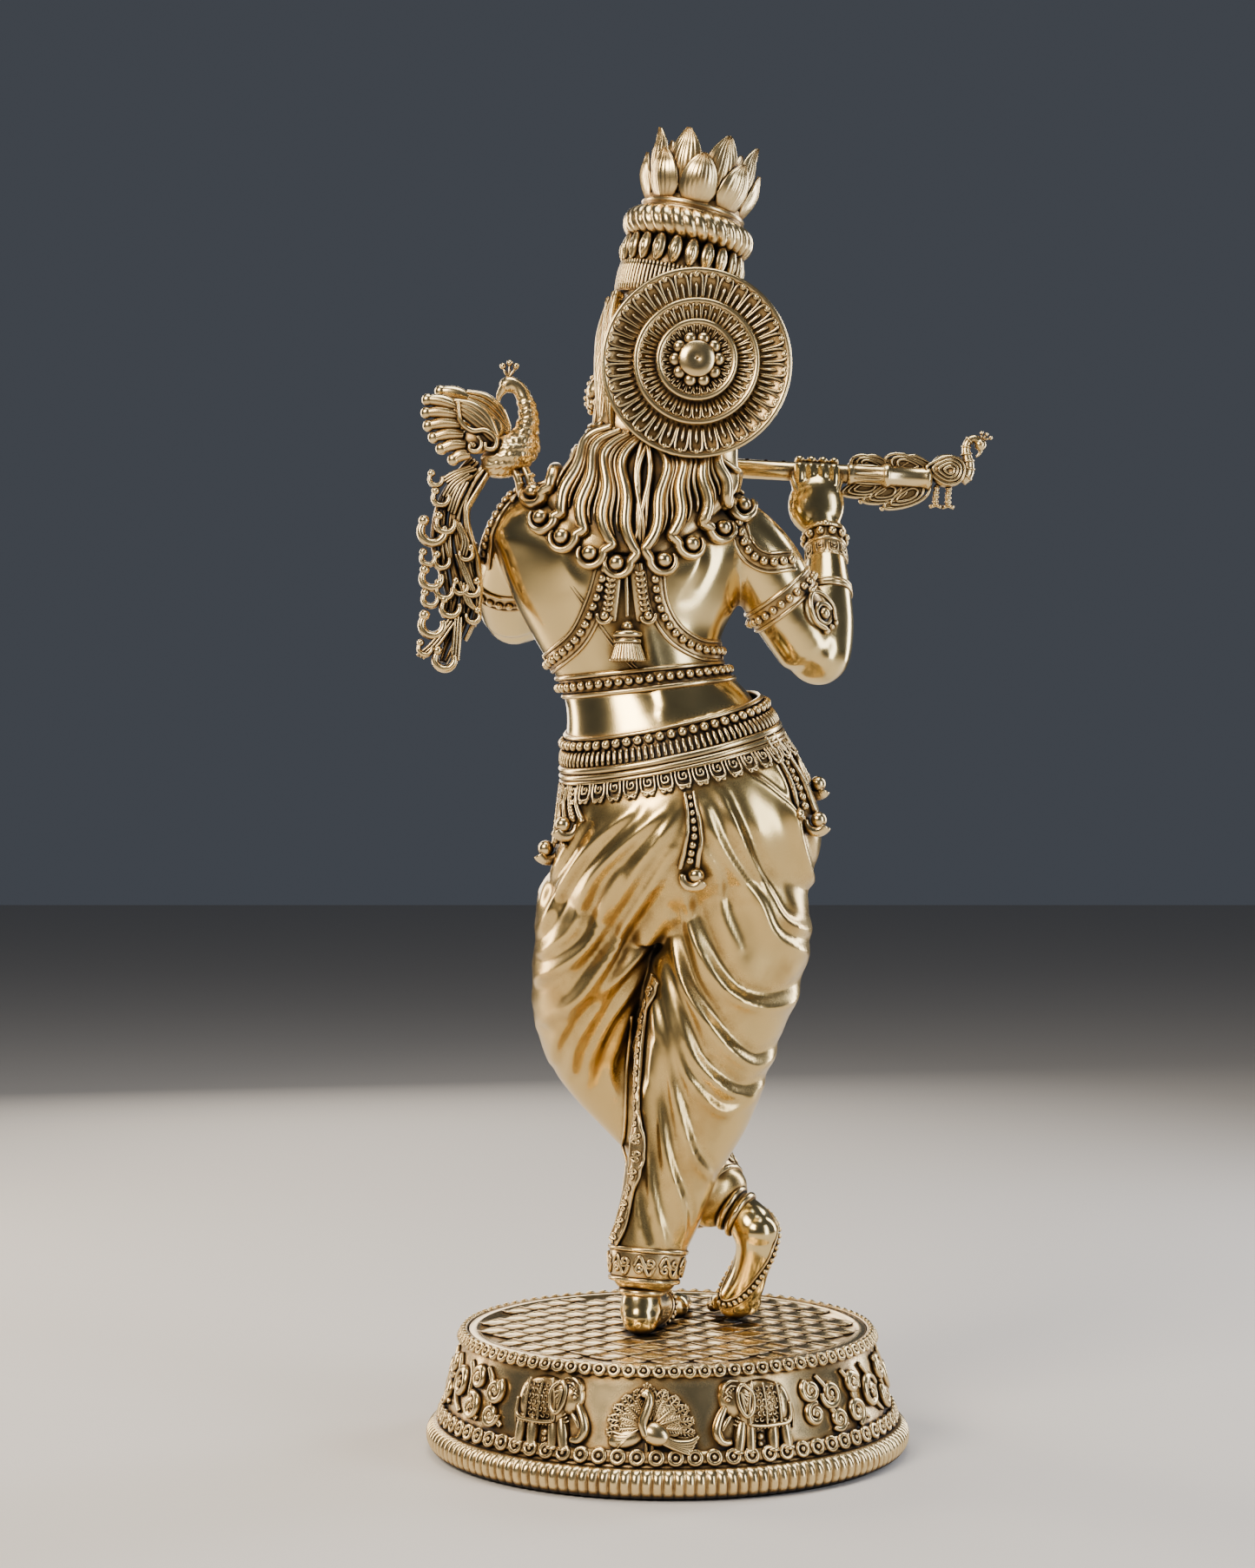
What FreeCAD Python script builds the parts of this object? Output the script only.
"""Cast brass figure of a flute player standing with crossed legs on a round plinth.

Millimetres, +Z up, the figure faces -Y. The origin is the centre of the plinth's foot.
The figure's own right hand is on -X, and the flute points out that way.
"""

import FreeCAD, Part
import Sketcher
import math
import os
from FreeCAD import Placement, Rotation, Vector

doc = FreeCAD.newDocument("flute_player_statue")
dims = doc.addObject("Spreadsheet::Sheet", "dims")
UP = Vector(0, 0, 1)
PARTS = {}

# ---------------------------------------------------------------- driving dimensions

_row = 0


def put(alias, value):
    """One named number in the sheet."""
    global _row
    _row += 1
    dims.set(f"A{_row}", alias)
    dims.set(f"B{_row}", str(value))
    dims.setAlias(f"B{_row}", alias)


DRIVING = {
    # plinth
    "foot_radius": 112.4,
    "foot_height": 14.5,
    "panel_foot_radius": 104.0,
    "panel_head_radius": 95.0,
    "panel_head_height": 50.5,
    "deck_height": 54.0,
    "deck_radius": 91.5,
    "tile_thickness": 1.2,
    # castings
    "casting_wall": 4.5,
    "elbow_radius": 17.2,
    # head and crown
    "head_lean": 12.5,
    "head_turn": 25.0,
    "head_wide": 26.0,
    "head_deep": 31.0,
    "head_tall": 38.0,
    "crown_base_height": 26.0,
    "crown_ring_radius": 23.5,
    "crown_ring_tube": 6.6,
    "collar_radius": 24.5,
    "petal_length": 32.0,
    "petal_width": 8.5,
    # halo
    "halo_radius": 43.2,
    "halo_middle_radius": 28.5,
    "halo_small_radius": 18.3,
    "halo_boss_radius": 8.0,
    "halo_stud_radius": 4.0,
    # flute
    "flute_rod_radius": 4.6,
    "flute_sleeve_radius": 5.5,
    "flute_clearance": 0.06,
    "flute_slope": 3.1,
    "finger_radius": 2.75,
    # jewellery
    "band_rise": 2.4,
    "ring_tube": 2.6,
    # fasteners under the deck
    "stud_radius": 4.0,
    "nut_across_flats": 13.0,
    "nut_height": 6.5,
    "washer_radius": 9.0,
    "washer_thickness": 1.6,
}
for name, value in DRIVING.items():
    put(name, value)
doc.recompute()


def size(alias):
    """A sheet value as a plain number."""
    return float(dims.get(alias))


# ---------------------------------------------------------------- how pieces are made


def add(kind, name, **bound):
    """A Part primitive whose named sizes are bound to sheet expressions."""
    obj = doc.addObject("Part::" + kind, name)
    for prop, expression in bound.items():
        obj.setExpression(prop, str(expression))
    return obj


def place(obj, at, rotation=None):
    """Puts an object at a point, turned by a rotation."""
    obj.Placement = Placement(Vector(*at), rotation or Rotation())
    return obj


def cut(name, base, *tools):
    """Base less each tool in turn."""
    for n, tool in enumerate(tools):
        piece = doc.addObject("Part::Cut", name if n == len(tools) - 1 else f"{name}_cut{n}")
        piece.Base = base
        piece.Tool = tool
        base = piece
    return base


def fuse(name, *shapes):
    """Several solids as one."""
    piece = doc.addObject("Part::MultiFuse", name)
    piece.Shapes = list(shapes)
    return piece


def overlap(name, *shapes):
    """What several solids share."""
    piece = doc.addObject("Part::MultiCommon", name)
    piece.Shapes = list(shapes)
    return piece


def group(name, *shapes):
    """Separate solids of one node."""
    piece = doc.addObject("Part::Compound", name)
    piece.Links = list(shapes)
    return piece


def keep(label, obj):
    """Marks an object as one sub-part of the statue."""
    obj.Label = label
    PARTS[label] = obj
    return obj


def turned(name, profile, at=(0, 0, 0), rotation=None):
    """A PartDesign body turned about its own Z from (radius, height) corners.

    Each corner is a pair of sheet expressions. "0" puts the corner on the axis or on the base plane.
    """
    body = doc.addObject("PartDesign::Body", name)
    plane = [f for f in body.Origin.OriginFeatures if f.Role == "XZ_Plane"][0]
    sketch = body.newObject("Sketcher::SketchObject", name + "_profile")
    sketch.AttachmentSupport = [(plane, "")]
    sketch.MapMode = "FlatFace"
    rough = [
        (number(radius), number(height))
        for radius, height in profile
    ]
    count = len(profile)
    for n in range(count):
        start, end = rough[n], rough[(n + 1) % count]
        sketch.addGeometry(Part.LineSegment(Vector(*start, 0), Vector(*end, 0)), False)
    for n in range(count):
        sketch.addConstraint(Sketcher.Constraint("Coincident", n, 2, (n + 1) % count, 1))
    for n, (radius, height) in enumerate(profile):
        for kind, axis, text, value in (
            ("DistanceX", -2, radius, rough[n][0]),
            ("DistanceY", -1, height, rough[n][1]),
        ):
            if text == "0":
                sketch.addConstraint(Sketcher.Constraint("PointOnObject", n, 1, axis))
                continue
            index = sketch.addConstraint(Sketcher.Constraint(kind, -1, 1, n, 1, value))
            sketch.setExpression(f"Constraints[{index}]", text)
    spin = body.newObject("PartDesign::Revolution", name + "_turn")
    spin.Profile = sketch
    spin.ReferenceAxis = (sketch, ["V_Axis"])
    spin.Angle = 360
    sketch.Visibility = False
    return place(body, at, rotation)


def number(expression):
    """The value of a sheet expression, for a sketch's first rough drawing."""
    values = {name: size(name) for name in DRIVING}
    text = expression.replace("dims.", "")
    for name in sorted(values, key=len, reverse=True):
        text = text.replace(name, str(values[name]))
    total = 0.0
    for term in text.replace("-", "+-").split("+"):
        if term.strip():
            product = 1.0
            for factor in term.split("*"):
                product *= float(factor.replace(" ", ""))
            total += product
    return total


# ---------------------------------------------------------------- limbs, lofted through ellipses

# Each limb is a list of sections (x, y, z, half width along its wide axis, half depth, roll).
# Roll is in degrees and set only where the section's plane is given; other sections face along the limb.
WIDE_X = Vector(1, 0, 0)
WIDE_Y = Vector(0, 1, 0)
LIMBS = {
    "torso": (WIDE_X, [
        (1.4, 2, 330.7, 48.4, 38, 15.8), (4.7, 1, 344.4, 43.7, 33, 9), (10.9, 0, 356.8, 39.4, 30, 7),
        (15.4, 0, 366.9, 40.8, 30, 4), (19, -1, 380, 46, 32.5, 0), (20, -1, 392.2, 52.3, 34.5, -2),
        (20.7, 0, 408.4, 58, 35.5, -4), (20.7, 1, 421.6, 61.5, 33.5, -4), (17.6, 1, 434.8, 56, 28.5, -4),
        (14.5, 0, 444.5, 42, 23.5, -3), (11.5, -2, 454.2, 21, 18.5, -2),
    ]),
    "hips": (WIDE_X, [
        (1.4, 2, 330.7, 48.4, 38, 15.8), (-8.5, 4, 309, 56, 45, 9), (-9.8, 5, 284, 62, 49, 4.6),
        (-6.4, 3, 262, 62.5, 46, 1), (-1, -2, 246, 58, 40, 0),
    ]),
    "standing_leg": (WIDE_Y, [
        (-30, 3, 264, 38, 33, None), (-31, 2, 238.7, 38, 35.6, None), (-24, 2, 210.4, 36, 34, None),
        (-17, 3, 185.3, 33, 31.6, None), (-12, 4, 161.4, 30, 28.5, None), (-6, 6, 142.3, 26, 24, None),
        (-2, 8, 129.4, 23, 21.5, None), (3, 10, 112, 20, 19.5, None), (7.9, 12, 98.6, 18.5, 18, None),
        (10, 14, 87.3, 17, 16.6, None), (11, 15.5, 77, 15.4, 15, None),
    ]),
    "crossed_leg": (WIDE_Y, [
        (30, -8, 256, 34, 31, None), (30, -15, 236, 34, 32, None), (32.6, -24, 218, 33, 31, None),
        (34.5, -33, 202, 31, 29.5, None), (32, -41, 186, 28.5, 27, None), (25, -43.5, 172, 26, 24.5, None),
        (15, -42, 159, 24, 22.5, None), (4, -38, 146, 22, 21, None), (-8, -30, 131, 20, 19.5, None),
        (-18, -21, 118.5, 18, 17.5, None), (-27, -14, 110.5, 16.3, 16, None),
    ]),
    "right_upper_arm": (WIDE_Y, [
        (-32, -1, 426, 18, 17, None), (-42, -2, 414, 19, 18, None), (-51, -4, 398, 18, 17.5, None),
        (-59, -6, 384, 17.3, 17, None), (-68, -8, 372.5, 16, 15.6, None),
    ]),
    "right_forearm": (WIDE_Y, [
        (-71.5, -8, 370, 15.5, 15.2, None), (-74, -13, 383, 14.8, 14.4, None), (-75.5, -19, 396, 13, 12.6, None),
        (-76, -25, 407, 11.4, 11, None), (-76.2, -30, 417, 10, 9.6, None), (-75.2, -33, 427, 9.8, 9.4, None),
    ]),
    "left_upper_arm": (WIDE_X, [
        (62, -4, 428, 19, 18, None), (70, -16, 420, 19, 18, None), (74, -32, 409, 17.8, 17.2, None),
        (75, -46, 399, 16.6, 16.2, None), (74, -56, 392, 15.6, 15.2, None),
    ]),
    "left_forearm": (WIDE_Y, [
        (74, -58, 390, 15.4, 15, None), (62, -63, 397, 14.8, 14.4, None), (46, -67, 408, 13, 12.6, None),
        (30, -68, 421, 11.2, 10.8, None), (17, -66, 433, 10, 9.6, None), (8, -62, 442, 9.8, 9.4, None),
    ]),
    "hair": (WIDE_X, [
        (-6, 20, 512, 20, 8, 0), (-3, 21, 490, 29, 9, 0), (1, 21, 472, 34, 10, 0), (6, 23, 458, 42, 10, 0),
        (12.5, 26, 443, 51, 11, 0), (16, 31, 427, 39, 10, 0), (15.7, 36, 410, 18, 6.5, 0),
    ]),
    "neck": (WIDE_X, [
        (11.5, -2, 450, 17, 16.5, 0), (9, -5, 466, 15, 15, 0), (6, -6, 486, 16, 16, 0),
    ]),
}
SECTION_WORDS = ("x", "y", "z", "wide", "deep")
for limb, (_, sections) in LIMBS.items():
    for n, section in enumerate(sections):
        for word, value in zip(SECTION_WORDS, section):
            put(f"{limb}_{n}_{word}", value)
doc.recompute()


def section_point(limb, n):
    """The centre of a limb's section."""
    return Vector(*(size(f"{limb}_{n}_{word}") for word in "xyz"))


def section_rotation(limb, n):
    """Turns a section so that it faces along its limb, or as its roll says."""
    wide_axis, sections = LIMBS[limb]
    roll = sections[n][5]
    if roll is not None:
        return Rotation(Vector(0, 1, 0), roll)
    before = section_point(limb, max(n - 1, 0))
    after = section_point(limb, min(n + 1, len(sections) - 1))
    along = (after - before).normalize()
    wide = (wide_axis - along * wide_axis.dot(along)).normalize()
    return Rotation(wide, along.cross(wide), along, "ZXY")


def loft(name, limb, grow=0.0, first=0, last=None):
    """A solid through a limb's sections, with every radius grown by the same amount."""
    rings = []
    count = len(LIMBS[limb][1])
    for n in range(first, (count if last is None else last + 1)):
        ring = add(
            "Ellipse", f"{name}_ring{n}",
            MajorRadius=f"dims.{limb}_{n}_wide + {grow}",
            MinorRadius=f"dims.{limb}_{n}_deep + {grow}",
        )
        place(ring, section_point(limb, n), section_rotation(limb, n))
        for axis in "xyz":
            ring.setExpression(f"Placement.Base.{axis}", f"dims.{limb}_{n}_{axis}")
        ring.Visibility = False
        rings.append(ring)
    piece = doc.addObject("Part::Loft", name)
    piece.Sections = rings
    piece.Solid = True
    return piece


def slab(name, limb, n, height, shift=0.0, reach=90):
    """A thick disc square to a limb at a section, moved along it by shift."""
    disc = add("Cylinder", name)
    disc.Radius = reach
    disc.Height = height
    turn = section_rotation(limb, n)
    at = section_point(limb, n) + turn.multVec(UP) * (shift - height / 2)
    return place(disc, at, turn)


def band(name, limb, n, height, bare, shift=0.0, rise=None, reach=90):
    """A band that lies round a limb at a section, fitted to the bare pieces under it."""
    rise = size("band_rise") if rise is None else rise
    thick = loft(name + "_grown", limb, grow=rise)
    strip = overlap(name + "_strip", thick, slab(name + "_slab", limb, n, height, shift, reach))
    return cut(name, strip, *bare)


# ---------------------------------------------------------------- plinth


def plinth():
    """Hollow cast drum, open below, with its foot ring, bead rings, paving and reliefs."""
    shell = turned("shell_turned", [
        ("dims.foot_radius - 6.4", "0"), ("dims.foot_radius - 6.4", "dims.foot_height"),
        ("dims.panel_foot_radius", "dims.foot_height + 0.5"), ("dims.panel_head_radius", "dims.panel_head_height"),
        ("dims.panel_head_radius - 2", "dims.deck_height"), ("0", "dims.deck_height"),
        ("0", "dims.deck_height - 4"), ("dims.panel_head_radius - 6", "dims.deck_height - 4"),
        ("dims.panel_foot_radius - 4", "dims.foot_height"), ("dims.foot_radius - 12", "0"),
    ])
    for n, (x, y) in enumerate(STUDS):
        hole = add("Cylinder", f"stud_hole_{n}", Radius="dims.stud_radius + 0.25")
        hole.Height = 20
        shell = cut(f"base_shell_{n}", shell, place(hole, (x, y, size("deck_height") - 12)))
    keep("base_shell", shell)
    foot = turned("foot_turned", [
        ("dims.foot_radius - 6.4", "0"), ("dims.foot_radius - 1.6", "0"), ("dims.foot_radius", "4"),
        ("dims.foot_radius - 0.2", "8"), ("dims.foot_radius - 2.6", "12"),
        ("dims.foot_radius - 6.4", "dims.foot_height"),
    ])
    keep("ribbed_foot_ring", foot)
    lower = turned("lower_ring_turned", [
        ("dims.panel_foot_radius", "dims.foot_height + 0.5"), ("dims.foot_radius - 6.4", "dims.foot_height"),
        ("dims.panel_foot_radius + 4.4", "dims.foot_height + 1.2"),
        ("dims.panel_foot_radius + 4.8", "dims.foot_height + 3.4"),
        ("dims.panel_foot_radius + 3.0", "dims.foot_height + 5.8"),
        ("dims.panel_foot_radius + 0.6", "dims.foot_height + 6.6"),
        ("dims.panel_foot_radius - 1.26", "dims.foot_height + 5.5"),
    ])
    keep("lower_bead_ring", lower)
    upper = turned("upper_ring_turned", [
        ("dims.panel_head_radius", "dims.panel_head_height"),
        ("dims.panel_head_radius + 2.6", "dims.panel_head_height + 0.4"),
        ("dims.panel_head_radius + 3.6", "dims.panel_head_height + 2.6"),
        ("dims.panel_head_radius + 2.2", "dims.deck_height + 1.4"),
        ("dims.panel_head_radius - 0.8", "dims.deck_height + 2.2"),
        ("dims.panel_head_radius - 2.4", "dims.deck_height + 1.2"),
        ("dims.panel_head_radius - 2", "dims.deck_height"),
    ])
    keep("upper_bead_ring", upper)
    deck = add("Cylinder", "deck_disc", Radius="dims.deck_radius", Height="dims.tile_thickness")
    place(deck, (0, 0, size("deck_height")))
    holes = [doc.getObject(f"stud_hole_{n}") for n in range(len(STUDS))]
    keep("deck_paving", cut("deck_drilled", deck, *holes))


def on_wall(turn, height):
    """A placement on the sloping wall: local X runs round it, local Y up it, local Z straight out."""
    low, high = size("foot_height"), size("panel_head_height")
    share = (height - low) / (high - low)
    radius = size("panel_foot_radius") + share * (size("panel_head_radius") - size("panel_foot_radius"))
    slope = math.degrees(math.atan2(size("panel_foot_radius") - size("panel_head_radius"), high - low))
    round_z = Rotation(UP, turn)
    stand = Rotation(Vector(1, 0, 0), 90 - slope)
    return Placement(round_z.multVec(Vector(0, -radius, height)), round_z.multiply(stand))


def relief(name, frame, blobs):
    """Ellipsoids (along, up, out, half length, half height, half depth, turn) fused on the wall."""
    made = []
    for n, (along, up, out, long, tall, deep, turn) in enumerate(blobs):
        blob = add("Ellipsoid", f"{name}_{n}")
        blob.Radius1, blob.Radius2, blob.Radius3 = deep, long, tall
        local = Placement(Vector(along, up, out), Rotation(UP, turn))
        blob.Placement = frame.multiply(local)
        made.append(blob)
    return fuse(name, *made)


def reliefs():
    """Elephants facing a displaying peacock, at the front and the back, with scrolls between."""
    wall = PARTS["base_shell"]
    elephants, peacocks, scrolls = [], [], []
    for side, turn in (("front", RELIEF_TURN), ("back", RELIEF_TURN + 180)):
        peacocks.append(cut(f"peacock_{side}_seated", relief(f"peacock_{side}", on_wall(turn, 34), [
            (0, 3, 0, 17, 12.5, 2.2, 0), (-1, -5, 1, 11, 7, 3.6, 0), (-2, 4, 1.6, 2.6, 9, 3.2, 6),
            (13, -8, 0.6, 9, 3.6, 2.6, 8),
        ]), wall))
        for hand in (-1, 1):
            frame = on_wall(turn + hand * ELEPHANT_TURN, 35)
            blobs = [
                (3.5, 2.5, 0.5, 11.5, 9.5, 4.6, 0), (-9, 4, 0.5, 6.5, 7, 4.4, 0), (-6.5, 4, 2.6, 3, 5.4, 3, 0),
                (-15, -3, 0.2, 2.2, 7, 2.6, 18), (-3.5, -7, 0.6, 3.2, 6.4, 3.6, 0), (11, -7, 0.6, 3.2, 6.4, 3.6, 0),
            ]
            # the trunk points at the peacock in the middle
            blobs = [(hand * a, u, o, l, t, d, hand * r) for a, u, o, l, t, d, r in blobs]
            name = f"elephant_{side}_{'left' if hand < 0 else 'right'}"
            elephants.append(cut(name + "_seated", relief(name, frame, blobs), wall))
    for hand in (-1, 1):
        for n, (turn, height, ring) in enumerate(SCROLL_RINGS):
            frame = on_wall(RELIEF_TURN + 90 * hand + turn, height)
            coil = add("Torus", f"scroll_{hand + 1}_{n}")
            coil.Radius1, coil.Radius2 = ring, 1.9
            coil.Placement = frame
            scrolls.append(cut(f"scroll_{hand + 1}_{n}_seated", coil, wall))
    keep("elephant_reliefs", group("elephants", *elephants))
    keep("peacock_reliefs", group("peacocks", *peacocks))
    keep("scroll_reliefs", group("scrolls", *scrolls))


RELIEF_TURN = -5.0
ELEPHANT_TURN = 26.4
# each scroll: turn round the wall, height, radius of its curl
SCROLL_RINGS = [
    (-39.5, 38.5, 4.6), (-33, 28.4, 4.6), (-22, 35, 6.4), (-8, 41.2, 4.2), (-6, 28.4, 4.4),
    (7, 35, 6.4), (19.5, 41.2, 4.2), (21, 28.6, 4.4), (36, 36, 6.2),
]
STANDING_STUD = (13.0, 2.0)
CROSSED_STUD = (-31.0, -15.0)
STUDS = (STANDING_STUD, CROSSED_STUD)

# ---------------------------------------------------------------- feet and the studs that hold them


def blended(name, balls):
    """A closed form through balls (x, y, z, radius): each next pair is joined by a tapered rod."""
    made = []
    for n, (x, y, z, radius) in enumerate(balls):
        ball = add("Sphere", f"{name}_ball{n}")
        ball.Radius = radius
        made.append(place(ball, (x, y, z)))
        if n:
            made.append(tapered(f"{name}_rod{n}", balls[n - 1], balls[n]))
    return fuse(name, *made)


def tapered(name, start, end):
    """A cone frustum between two balls given as (x, y, z, radius)."""
    a, b = Vector(*start[:3]), Vector(*end[:3])
    rod = add("Cone", name)
    rod.Radius1, rod.Radius2 = start[3] * 0.985, end[3] * 0.98
    rod.Height = (b - a).Length
    return place(rod, a, Rotation(UP, b - a))


def feet():
    """Both feet, each with a threaded stud below that goes through the deck."""
    floor = size("deck_height") + size("tile_thickness")
    below = add("Box", "below_deck", Height=size("deck_height"))
    below.Length = below.Width = 300
    place(below, (-150, -150, floor - size("deck_height")))
    standing = blended("standing_foot_form", [
        (11.5, 16.5, 79, 9.4), (14, 19, 66, 9.2), (13.6, 18, floor + 7.5, 10.6), (8, -4, floor + 6.8, 9.4),
        (1, -24, floor + 4.6, 9.2), (-5, -40, floor + 3.2, 6.2),
    ])
    crossed = blended("crossed_foot_form", [
        (-26, -14, 111.5, 10.2), (-38, -9, 104, 10.4), (-43, -2, 99.5, 9.4), (-38, -5, 82, 9.6),
        (-32, -11, floor + 10, 10.2), (-28, -21, floor + 5.5, 7.6), (-25, -31, floor + 3.4, 5.4),
    ])
    for label, form, leg in (
        ("standing_foot", standing, "standing_leg_form"), ("crossed_foot", crossed, "crossed_leg_form"),
    ):
        keep(label, cut(label + "_trimmed", form, below, doc.getObject(leg)))
    studs, nuts, washers = [], [], []
    under = size("deck_height") - 4
    for n, (x, y) in enumerate(STUDS):
        stud = add("Cylinder", f"stud_{n}", Radius="dims.stud_radius")
        stud.Height = floor - under + size("washer_thickness") + size("nut_height") + 3
        studs.append(place(stud, (x, y, floor - stud.Height.Value)))
        washer = turned(f"washer_{n}", [
            ("dims.stud_radius + 0.4", "0"), ("dims.washer_radius", "0"),
            ("dims.washer_radius", "dims.washer_thickness"), ("dims.stud_radius + 0.4", "dims.washer_thickness"),
        ], (x, y, under - size("washer_thickness")))
        washers.append(washer)
        nut = doc.addObject("Part::Prism", f"nut_{n}_hexagon")
        nut.Polygon = 6
        nut.setExpression("Circumradius", "dims.nut_across_flats / 1.732")
        nut.setExpression("Height", "dims.nut_height")
        place(nut, (x, y, under - size("washer_thickness") - size("nut_height")))
        bore = add("Cylinder", f"nut_{n}_bore", Radius="dims.stud_radius + 0.05")
        bore.Height = 30
        nuts.append(cut(f"nut_{n}", nut, place(bore, (x, y, under - 20))))
    keep("foot_studs", group("studs", *studs))
    keep("stud_washers", group("washers", *washers))
    keep("stud_nuts", group("nuts", *nuts))


# ---------------------------------------------------------------- body castings


def hollow(label, form, limb, first, last, *trims):
    """A casting with its core taken out along the limb's inner sections."""
    core = loft(label + "_core", limb, grow=-size("casting_wall"), first=first, last=last)
    return keep(label, cut(label + "_cast", form, core, *trims))


def lower_body():
    """Hips and two draped legs: the right one stands, the left one crosses in front of it."""
    hips = loft("hips_form", "hips")
    standing = loft("standing_leg_form", "standing_leg")
    crossed = loft("crossed_leg_form", "crossed_leg")
    hollow("hips", hips, "hips", 0, 3)
    keep("standing_leg", cut("standing_leg_cast", standing, hips))
    keep("crossed_leg", cut("crossed_leg_cast", crossed, hips, standing))


def upper_body():
    """Torso, arms and neck."""
    torso = loft("torso_form", "torso")
    hollow("torso", torso, "torso", 0, 9)
    for side in ("right", "left"):
        upper = loft(f"{side}_upper_arm_form", f"{side}_upper_arm")
        elbow = add("Sphere", f"{side}_elbow", Radius="dims.elbow_radius")
        place(elbow, section_point(f"{side}_forearm", 0))
        full = fuse(f"{side}_upper_arm_full", upper, elbow)
        keep(f"{side}_upper_arm", cut(f"{side}_upper_arm_trimmed", full, torso))
        fore = loft(f"{side}_forearm_form", f"{side}_forearm")
        keep(f"{side}_forearm", cut(f"{side}_forearm_trimmed", fore, full))


# ---------------------------------------------------------------- head, hair, crown and halo

HEAD_AT = (4.0, -5.0, 503.0)
CROWN_FOOT = 31.0


def head_frame():
    """The head's own frame: leaning to the right, turned to the left."""
    lean = Rotation(Vector(0, 1, 0), -size("head_lean"))
    return Placement(Vector(*HEAD_AT), lean.multiply(Rotation(UP, size("head_turn"))))


def on_head(obj, local, turn=None):
    """Places an object by its position in the head's frame."""
    obj.Placement = head_frame().multiply(Placement(Vector(*local), turn or Rotation()))
    return obj


def head():
    """Skull with neck, nose, ears and the locks that fall behind."""
    skull = add("Ellipsoid", "skull", Radius1="dims.head_tall", Radius2="dims.head_wide", Radius3="dims.head_deep")
    on_head(skull, (0, 0, 0))
    nose = on_head(add("Cone", "nose"), (0, -30, -14), Rotation(Vector(1, 0, 0), -12))
    nose.Radius1, nose.Radius2, nose.Height = 4.2, 1.6, 15
    neck = loft("neck_form", "neck")
    torso = doc.getObject("torso_form")
    whole = fuse("head_whole", skull, nose, neck)
    keep("head", cut("head_trimmed", whole, torso))
    ears = []
    for hand in (-1, 1):
        drop = on_head(add("Ellipsoid", f"ear_drop_{hand + 1}"), (hand * 27.5, -2, -20))
        drop.Radius1, drop.Radius2, drop.Radius3 = 9, 3.4, 6
        ears.append(cut(f"earring_{hand + 1}", drop, whole, torso))
    keep("earrings", group("earring_pair", *ears))
    hair = loft("hair_form", "hair")
    keep("hair_fall", cut("hair_trimmed", hair, whole, torso, doc.getObject("right_upper_arm_full")))


def crown():
    """Band of buds, ribbed turban ring, collar and an open lotus, stacked on the head's axis."""
    skull = doc.getObject("head_whole")
    base = turned("crown_base_turned", [
        ("0", "0"), ("dims.crown_ring_radius + 3", "0"),
        ("dims.crown_ring_radius + 1", "dims.crown_base_height"), ("0", "dims.crown_base_height"),
    ])
    top = CROWN_FOOT + size("crown_base_height")
    on_head(base, (0, 1, CROWN_FOOT))
    keep("crown_base", cut("crown_base_seated", base, skull))
    ring = add("Torus", "crown_ring_torus", Radius1="dims.crown_ring_radius", Radius2="dims.crown_ring_tube")
    on_head(ring, (0, 1, top + size("crown_ring_tube")))
    plug = add("Cylinder", "crown_ring_core", Radius="dims.crown_ring_radius + 1.5")
    plug.setExpression("Height", "dims.crown_ring_tube * 2")
    on_head(plug, (0, 1, top))
    keep("crown_ring", fuse("crown_ring_whole", ring, plug))
    top += 2 * size("crown_ring_tube")
    collar = turned("crown_collar_turned", [
        ("0", "0"), ("dims.collar_radius - 1", "0"), ("dims.collar_radius", "2.4"),
        ("dims.collar_radius - 3.5", "4.2"), ("0", "4.2"),
    ])
    on_head(collar, (0, 1, top))
    keep("crown_collar", collar)
    top += 4.2
    petals = []
    for row, (count, ring_radius, tilt, length) in enumerate(((8, 17.5, 12, 1.0), (8, 12.5, 3, 0.98))):
        for n in range(count):
            turn = Rotation(UP, 360.0 * (n + row / 2) / count)
            petal = add("Ellipsoid", f"petal_{row}_{n}")
            petal.Radius1 = size("petal_length") * 0.5 * length
            petal.Radius2 = size("petal_width") - 1.6
            petal.Radius3 = 2.0
            foot = turn.multVec(Vector(0, -ring_radius, 0))
            lean = turn.multiply(Rotation(Vector(1, 0, 0), tilt))
            lift = lean.multVec(Vector(0, 0, petal.Radius1.Value - 1.0))
            on_head(petal, tuple(foot + lift + Vector(0, 1, top)), lean)
            petals.append(petal)
    heart = on_head(add("Cone", "lotus_heart"), (0, 1, top))
    heart.Radius1, heart.Radius2, heart.Height = 15, 11, 9
    keep("lotus", cut("lotus_seated", fuse("lotus_whole", heart, *petals), collar))


HALO_AT = (-12.6, 33.5, 499.0)


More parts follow.
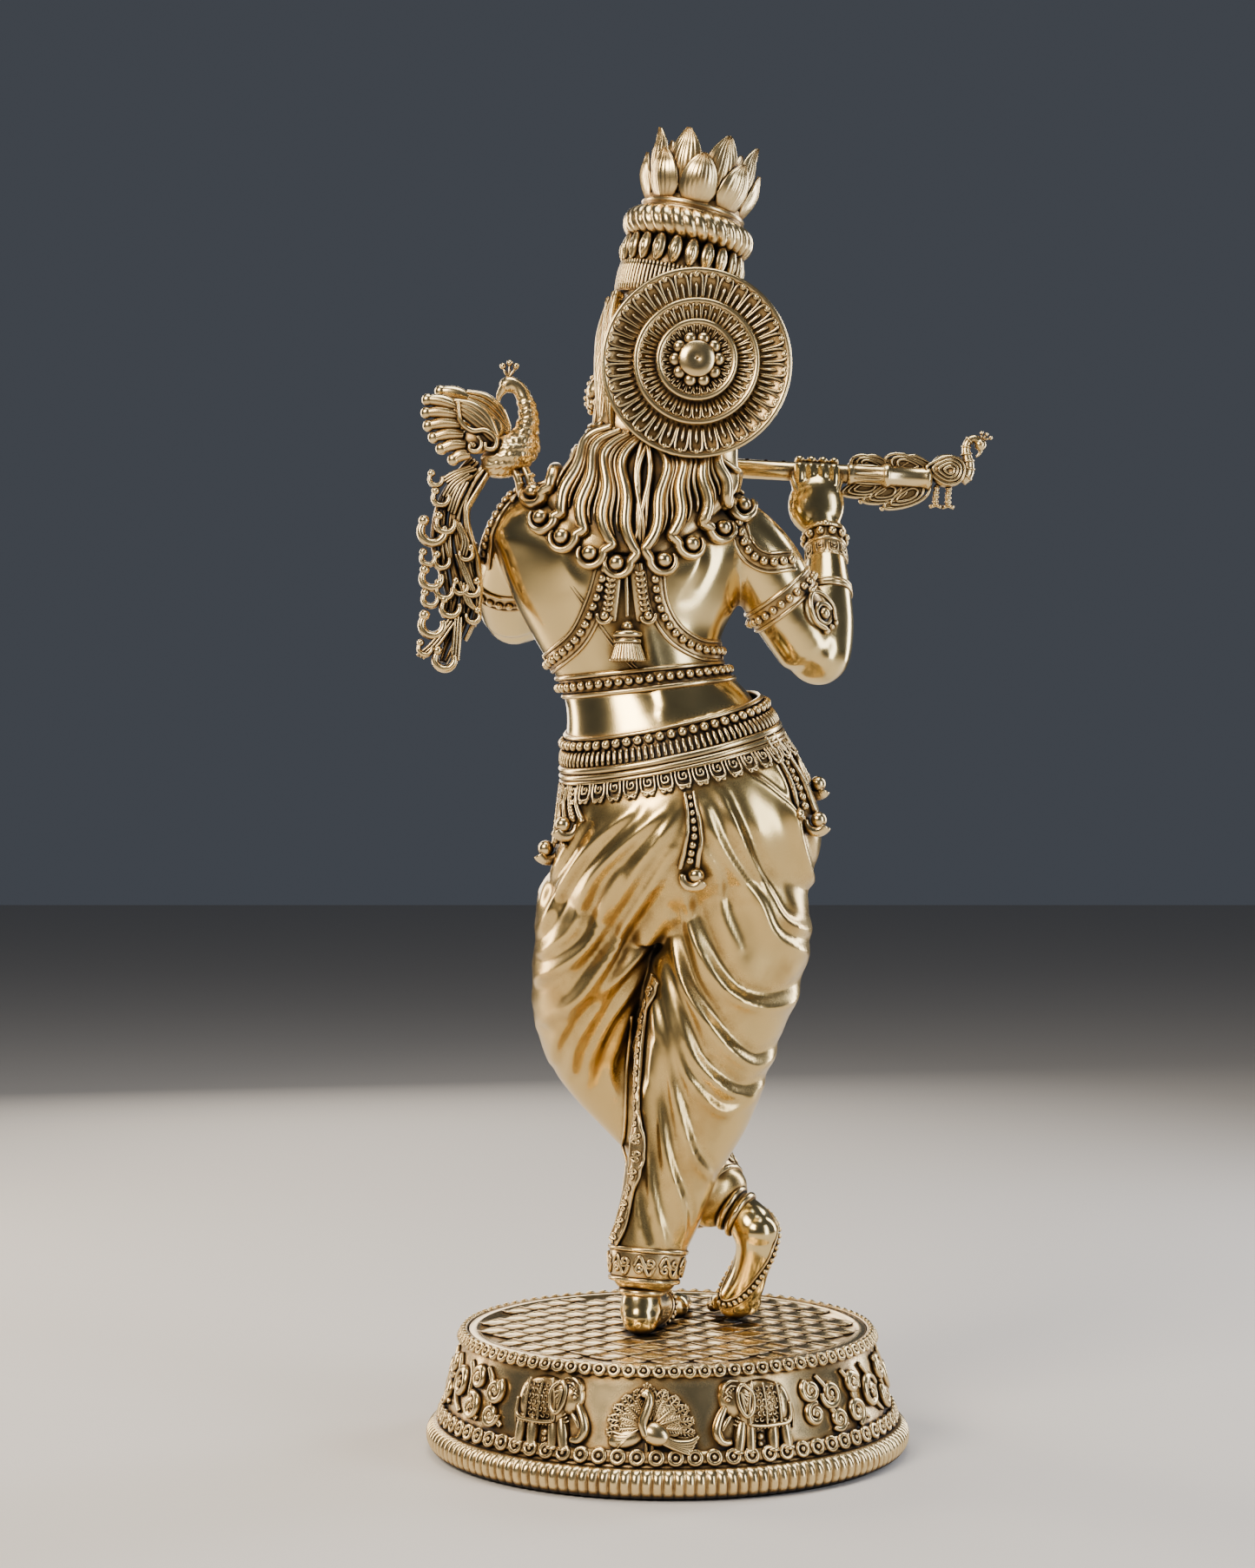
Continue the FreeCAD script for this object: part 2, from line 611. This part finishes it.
def halo():
    """Three stepped dishes and a rosette, held to the back of the head by a stud."""
    face_out = Rotation(Vector(1, 0, 0), -90)
    dishes = (
        ("halo_large", "halo_radius", 0.0), ("halo_middle", "halo_middle_radius", 5.0),
        ("halo_small", "halo_small_radius", 10.0),
    )
    for label, radius, out in dishes:
        x, y, z = HALO_AT
        dish = turned(label + "_turned", [
            ("0", "0"), (f"dims.{radius} - 3", "0"), (f"dims.{radius}", "4"), (f"dims.{radius} - 0.8", "6"),
            (f"dims.{radius} - 4", "5"), ("0", "5"),
        ], (x, y + out, z), face_out)
        keep(label, dish)
    x, y, z = HALO_AT
    boss = turned("halo_rosette_turned", [
        ("0", "0"), ("dims.halo_boss_radius + 5", "0"), ("dims.halo_boss_radius + 3.5", "2.4"),
        ("dims.halo_boss_radius", "2.6"), ("dims.halo_boss_radius - 0.4", "3.8"), ("0", "3.8"),
    ], (x, y + 15.0, z), face_out)
    keep("halo_rosette", boss)
    stud = add("Cylinder", "halo_stud_rod", Radius="dims.halo_stud_radius")
    stud.Height = 22
    place(stud, (x, y - 22, z), face_out)
    head_whole, fall = doc.getObject("head_whole"), doc.getObject("hair_form")
    keep("halo_stud", cut("halo_stud_seated", stud, head_whole, fall))


# ---------------------------------------------------------------- flute and the hands that hold it

FLUTE_GRIP = Vector(-71.5, -40.0, 457.6)
ROD_BACK = 95.0
ROD_FRONT = 56.0
SLEEVE_START = 15.4
FINIAL_ALONG = 62.8
# each plume: along the flute, below it (or above, if negative), half length, half width, lean
PLUMES = [
    (24, 6, 11, 5.0, -74), (34, 8, 11, 5.2, -68), (44.5, 8.8, 12, 5.2, -60),
    (26, -5, 9, 4.0, 84), (44, -6, 11, 4.6, 82),
]


def flute_rotation():
    """The flute's own +Z runs from the mouth out to the bird at its end."""
    slope = math.radians(size("flute_slope"))
    return Rotation(UP, Vector(-math.cos(slope), 0, -math.sin(slope)))


def on_flute(obj, along, turn=None):
    """Places an object along the flute, from the middle of the right hand's grip."""
    at = FLUTE_GRIP + flute_rotation().multVec(UP) * along
    rotation = flute_rotation()
    if turn:
        rotation = rotation.multiply(turn)
    return place(obj, tuple(at), rotation)


def flute():
    """Rod with finger holes, sleeve, plumes and a peacock finial."""
    rod = on_flute(add("Cylinder", "rod_blank", Radius="dims.flute_rod_radius"), -ROD_BACK)
    rod.Height = ROD_BACK + ROD_FRONT
    holes = []
    for n, along in enumerate((-74.0, -42.0, -33.0, -24.0, -15.5)):
        hole = add("Cylinder", f"finger_hole_{n}")
        hole.Radius, hole.Height = 1.3, 6
        on_flute(hole, along, Rotation(Vector(0, 1, 0), -90))
        place(hole, tuple(hole.Placement.Base), Rotation())
        holes.append(hole)
    keep("flute_rod", cut("rod_drilled", rod, *holes))
    bore = on_flute(add("Cylinder", "sleeve_bore", Radius="dims.flute_rod_radius"), 0)
    bore.Height = 90
    sleeve = turned("flute_sleeve_turned", [
        ("dims.flute_rod_radius", "0"), ("dims.flute_sleeve_radius + 0.6", "0"),
        ("dims.flute_sleeve_radius + 0.6", "2"), ("dims.flute_sleeve_radius", "2.6"),
        ("dims.flute_sleeve_radius", "33"), ("dims.flute_sleeve_radius + 0.8", "34"),
        ("dims.flute_sleeve_radius + 0.8", "35.4"), ("dims.flute_sleeve_radius", "36.4"),
        ("dims.flute_sleeve_radius + 0.8", "40"), ("dims.flute_rod_radius", "40"),
    ])
    keep("flute_sleeve", on_flute(sleeve, SLEEVE_START))
    plumes = []
    for n, (along, side, long, wide, turn) in enumerate(PLUMES):
        plume = add("Ellipsoid", f"plume_{n}")
        plume.Radius1, plume.Radius2, plume.Radius3 = long, wide, 1.3
        middle = FLUTE_GRIP + flute_rotation().multVec(UP) * along - UP * side
        place(plume, tuple(middle), Rotation(Vector(0, 1, 0), turn))
        plumes.append(plume)
    web = fuse("plume_web", *plumes)
    keep("flute_plumes", cut("plumes_seated", web, PARTS["flute_sleeve"], rod))
    end = FLUTE_GRIP + flute_rotation().multVec(UP) * FINIAL_ALONG
    ex, ey, ez = end.x, end.y, end.z + 4.2
    body = turned("finial_body", [
        ("0", "0"), ("5", "0.6"), ("8", "3.2"), ("8", "5.6"), ("5", "8.2"), ("0", "8.8"),
    ], (ex, ey - 4.4, ez), Rotation(Vector(1, 0, 0), -90))
    neck = blended("finial_neck", [
        (ex - 8.6, ey, ez - 1, 3.8), (ex - 10.4, ey, ez + 4, 2.9), (ex - 9.2, ey, ez + 10, 2.0),
        (ex - 9.8, ey, ez + 14.2, 1.9), (ex - 13.4, ey, ez + 16.2, 1.8), (ex - 16.4, ey, ez + 13.0, 2.6),
        (ex - 14.6, ey, ez + 8.4, 0.8),
    ])
    legs = []
    for n, shift in enumerate((0.4, 3.2)):
        leg = add("Cylinder", f"finial_leg_{n}")
        leg.Radius, leg.Height = 1.2, 12
        legs.append(place(leg, (ex - shift, ey, ez - 17.4)))
    bird = fuse("finial_whole", body, neck, *legs)
    keep("flute_peacock", cut("finial_seated", bird, rod, PARTS["flute_sleeve"], web))


def hand(label, at, palm_side, wrist, fingers, arm):
    """A palm with four fingers curled over the flute, bored for the rod with a running fit."""
    x, y, z = at
    palm = add("Ellipsoid", label + "_palm")
    palm.Radius1, palm.Radius2, palm.Radius3 = 16, 14, 7.6
    place(palm, (x, y + palm_side * 8.0, z - 16))
    made = [palm, blended(label + "_wrist", [wrist, (x, y + palm_side * 7.0, z - 18, 9.0)])]
    for n, along in enumerate(fingers):
        curl = add("Torus", f"{label}_finger_{n}")
        curl.Radius1 = size("flute_rod_radius") + size("finger_radius")
        curl.Radius2 = size("finger_radius")
        slope = size("flute_slope")
        centre = FLUTE_GRIP + flute_rotation().multVec(UP) * along
        place(curl, tuple(centre), flute_rotation())
        made.append(curl)
    whole = fuse(label + "_whole", *made)
    bore = on_flute(add("Cylinder", label + "_bore", Radius="dims.flute_rod_radius + dims.flute_clearance"), -120)
    bore.Height = 240
    keep(label, cut(label + "_bored", whole, bore, arm))


def hands():
    """Right hand at the far end of the rod, left hand near the mouth."""
    hand("right_hand", tuple(FLUTE_GRIP), 1, (-75.2, -33, 427, 9.0), (-8.2, -2.6, 3.0, 8.4),
         doc.getObject("right_forearm_form"))
    left = FLUTE_GRIP + flute_rotation().multVec(UP) * -62
    hand("left_hand", tuple(left), -1, (8, -62, 442, 9.0), (-70.0, -64.4, -58.8, -53.4),
         doc.getObject("left_forearm_form"))


# ---------------------------------------------------------------- jewellery and cloth ends


def jewellery():
    """Bands that ring the body: belt, waist band, armlets, bracelets, cuffs and anklets."""
    torso, hips = doc.getObject("torso_form"), doc.getObject("hips_form")
    legs = [doc.getObject("standing_leg_form"), doc.getObject("crossed_leg_form")]
    belt_low = band("belt_low", "hips", 0, 44, [torso, hips], shift=0.0, rise=3.4)
    low_half = overlap("belt_low_half", belt_low, slab("belt_low_slab", "hips", 0, 26, shift=-13))
    keep("hip_belt", low_half)
    keep("belt_bead_row", band("belt_bead_band", "torso", 0, 7, [torso, hips], shift=3.8, rise=3.4))
    keep("waist_band", band("waist_band_ring", "torso", 2, 11.5, [torso], shift=-0.5, rise=3.0))
    arms = {
        "right": [doc.getObject("right_upper_arm_full"), doc.getObject("right_forearm_form")],
        "left": [doc.getObject("left_upper_arm_full"), doc.getObject("left_forearm_form")],
    }
    for side, bare in arms.items():
        keep(f"{side}_armlet", band(f"{side}_armlet_ring", f"{side}_upper_arm", 3, 9, bare + [torso], reach=34))
        keep(f"{side}_bracelet",
             band(f"{side}_bracelet_ring", f"{side}_forearm", 4, 15, bare, shift=-1.5, rise=2.8, reach=24))
        bare = bare + [PARTS[f"{side}_armlet"]]
        keep(f"{side}_bangle",
             band(f"{side}_bangle_ring", f"{side}_forearm", 2, 3.6, bare, shift=-2.0, rise=1.0, reach=26))
    keep("standing_cuff", band("standing_cuff_ring", "standing_leg", 9, 15, legs, shift=-1.5, rise=2.2, reach=36))
    crossed = band("crossed_cuff_ring", "crossed_leg", 9, 15, legs, shift=0.5, rise=2.2, reach=36)
    keep("crossed_cuff", crossed)
    for label, limb, at, radius in (
        ("standing_anklet", "standing_leg", (12, 16.6, 73.2), 9.6), ("crossed_anklet", "crossed_leg", (-31.5, -12.2, 108.4), 10.4),
    ):
        ring = add("Torus", label + "_ring", Radius2="dims.ring_tube + 0.6")
        ring.Radius1 = radius
        place(ring, at, section_rotation(limb, 10))
        foot = doc.getObject(limb.split("_")[0] + "_foot_form")
        keep(label, cut(label + "_seated", ring, foot, *legs, PARTS["crossed_cuff"], PARTS["standing_cuff"]))


def outer_y(shape, x, z, side):
    """How far out a shape's surface lies at (x, z), on the +Y side or the -Y side."""
    ray = Part.makeLine(Vector(x, 0, z), Vector(x, side * 150, z))
    shared = shape.Shape.common(ray)
    if not shared.Vertexes:
        return 0.0
    return side * max(side * v.Y for v in shared.Vertexes)


def tassel(name, start, end, side, under):
    """A strap that hangs against the hips from one point (x, z) to another, with a bud at its end."""
    top = Vector(start[0], outer_y(under, *start, side) + side * 1.6, start[1])
    tip = Vector(end[0], outer_y(under, *end, side) + side * 1.6, end[1])
    length = (tip - top).Length
    strap = turned(name, [
        ("0", "0"), ("2.6", "0"), ("2.6", f"{length - 4:.3f}"), ("4.2", f"{length - 1:.3f}"),
        ("4.2", f"{length + 2:.3f}"), ("2.2", f"{length + 5:.3f}"), ("0", f"{length + 5:.3f}"),
    ], tuple(top), Rotation(UP, tip - top))
    return strap


def straps():
    """Tassels that hang from the belt, and the pendant under the hair."""
    doc.recompute()
    hips, torso = doc.getObject("hips_form"), doc.getObject("torso_form")
    bare = [hips, PARTS["hip_belt"], torso, doc.getObject("standing_leg_form"), doc.getObject("crossed_leg_form")]
    places = (
        ("back_middle", (-9.5, 302), (-9.5, 266), 1), ("back_right", (-46, 312), (-60, 286), 1),
        ("back_left", (43, 300), (45, 282), 1), ("front_right", (-44, 318), (-62, 284), -1),
        ("front_middle", (-8, 300), (-8, 268), -1), ("front_left", (38, 300), (46, 270), -1),
    )
    made = []
    for name, start, end, side in places:
        strap = tassel(f"tassel_{name}", start, end, side, hips)
        made.append(cut(f"tassel_{name}_seated", strap, *bare))
    keep("hip_tassels", group("tassels", *made))
    pendant = blended("pendant_form", [(17, 36.5, 402, 5), (17.5, 34.5, 388, 5), (18, 33.5, 376, 6.4)])
    keep("back_pendant", cut("pendant_seated", pendant, torso, PARTS["hair_fall"]))


# ---------------------------------------------------------------- peacock on the left shoulder


def shoulder_bird():
    """Perched peacock: body with neck and head, two raised wings and a long hanging tail."""
    torso = doc.getObject("torso_form")
    arm = [doc.getObject("left_upper_arm_full"), torso]
    body = add("Ellipsoid", "bird_trunk")
    body.Radius1, body.Radius2, body.Radius3 = 9, 15, 8.5
    place(body, (73, 2, 462), Rotation(Vector(0, 1, 0), 28))
    neck = blended("bird_neck", [
        (68, 2, 468, 7), (65.5, 2, 478, 5), (67.5, 2, 489, 3.8), (73.5, 2, 495, 3.4), (77, 2, 491.5, 3.9),
        (78.6, 2, 485.5, 1.4),
    ])
    legs = blended("bird_legs", [(68, 4, 456, 4.2), (67, 4, 447, 3.4), (66, 4, 440, 3)])
    trunk = fuse("bird_whole", body, neck, legs)
    keep("bird_body", cut("bird_seated", trunk, *arm))
    wings = []
    for n, (y, lift) in enumerate(((9.5, 0), (-6.5, 7))):
        wing = add("Ellipsoid", f"wing_{n}")
        wing.Radius1, wing.Radius2, wing.Radius3 = 13, 23, 3.0
        place(wing, (93 - n * 6, y, 475 + lift), Rotation(Vector(0, 1, 0), -38))
        wings.append(cut(f"wing_{n}_seated", wing, trunk))
    keep("bird_wings", group("wing_pair", *wings))
    tail = blended("tail_form", [
        (88, 2, 455, 6.5), (101, 0, 444, 9), (108, -3, 428, 10), (106, -4, 410, 11), (103, -4, 392, 10.5),
        (104, -4, 376, 7.5), (108, -4, 364, 4),
    ])
    keep("bird_tail", cut("tail_seated", tail, trunk, *arm, *wings))


def garland():
    """Band of beads round the shoulders, fitted under the hair and the bird's feet."""
    doc.recompute()
    bare = [doc.getObject(name) for name in ("torso_form", "pendant_form", "bird_whole")]
    bare += [PARTS[name] for name in ("hair_fall", "left_upper_arm", "right_upper_arm", "head")]
    keep("garland", band("garland_ring", "torso", 8, 6, bare, shift=2, rise=3.0))


def sash():
    """The pleated end of the cloth that hangs behind the standing leg."""
    legs = [doc.getObject("standing_leg_form"), doc.getObject("crossed_leg_form")]
    cloth = blended("sash_form", [
        (12, 30, 214, 2.4), (15, 33, 180, 3.2), (17, 34, 150, 3.4), (20, 31, 120, 3.4), (25, 26, 98, 3.2),
    ])
    keep("sash", cut("sash_seated", cloth, *legs, PARTS["standing_cuff"]))


# ---------------------------------------------------------------- assembly and export

plinth()
reliefs()
lower_body()
feet()
upper_body()
head()
crown()
halo()
flute()
hands()
jewellery()
straps()
shoulder_bird()
garland()
sash()
doc.recompute()

failed = [o.Name for o in doc.Objects if {"Invalid", "Error"} & set(o.State)]
if failed:
    raise RuntimeError(f"objects failed to build: {failed}")
os.makedirs("parts", exist_ok=True)
for label, obj in PARTS.items():
    shape = obj.Shape
    if shape.isNull() or not shape.isValid() or not shape.Solids:
        raise RuntimeError(f"{label} is not a valid solid")
    shape.exportStep(f"parts/{label}.step")
    print(f"{label}: {len(shape.Solids)} solids, {shape.Volume / 1000:.1f} cm3")
print(f"{len(PARTS)} sub-parts")
